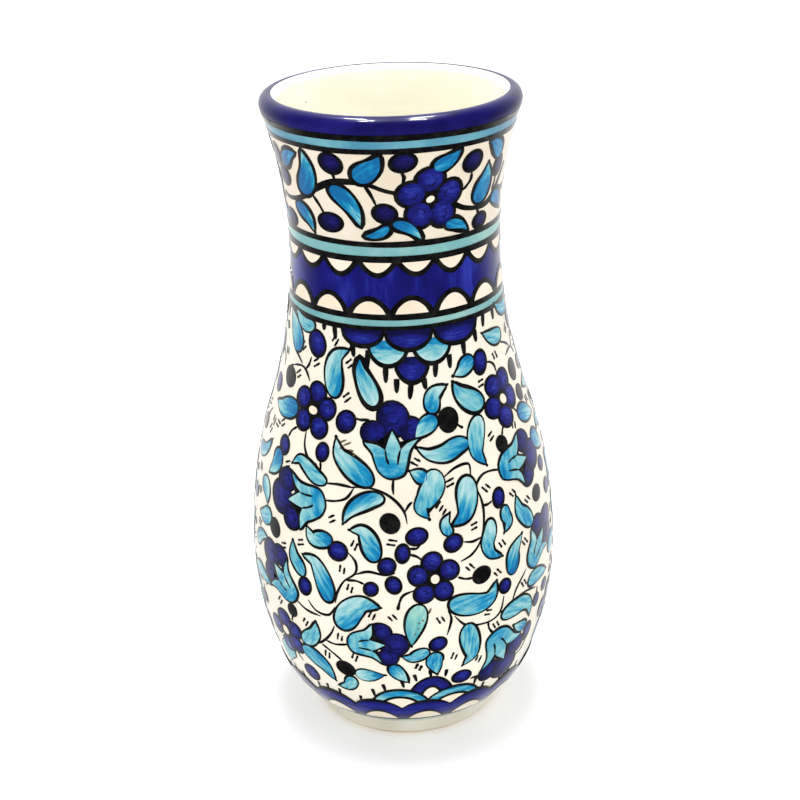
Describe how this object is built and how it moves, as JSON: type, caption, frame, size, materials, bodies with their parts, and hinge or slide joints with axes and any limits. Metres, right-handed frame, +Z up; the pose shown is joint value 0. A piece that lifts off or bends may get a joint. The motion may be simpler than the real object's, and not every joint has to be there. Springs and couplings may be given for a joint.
{
  "type": "painted pottery vase",
  "caption": "Hand-painted pottery vase with a full belly, a waisted neck, a rolled lip and a low foot ring.",
  "frame": {"origin": "centre of the foot ring's resting face", "axes": "+Z up along the vase's axis, towards the mouth; -Y faces the viewer, and +X is to the viewer's right"},
  "size_m": [0.1194, 0.1194, 0.25],
  "materials": {
    "fired_clay": "matte",
    "cream_lining_glaze": "gloss",
    "cobalt_glaze": "gloss",
    "turquoise_glaze": "gloss",
    "cream_ground_glaze": "gloss",
    "white_ground_glaze": "gloss",
    "green_wash_glaze": "gloss",
    "black_line_glaze": "gloss"
  },
  "bodies": {
    "root": {"foot_ring": "fired_clay", "floor_disc": "fired_clay", "belly_wall": "fired_clay", "neck_wall": "fired_clay", "rim_bead": "fired_clay", "lining_glaze": "cream_lining_glaze", "rim_glaze": "cobalt_glaze", "upper_stripe_glaze": "turquoise_glaze", "frieze_glaze": "cream_ground_glaze", "middle_stripe_glaze": "turquoise_glaze", "wave_band_glaze": "cobalt_glaze", "lower_stripe_glaze": "turquoise_glaze", "belly_glaze": "white_ground_glaze", "foot_stripe_glaze": "green_wash_glaze", "foot_glaze": "cream_ground_glaze"}
  },
  "joints": []
}
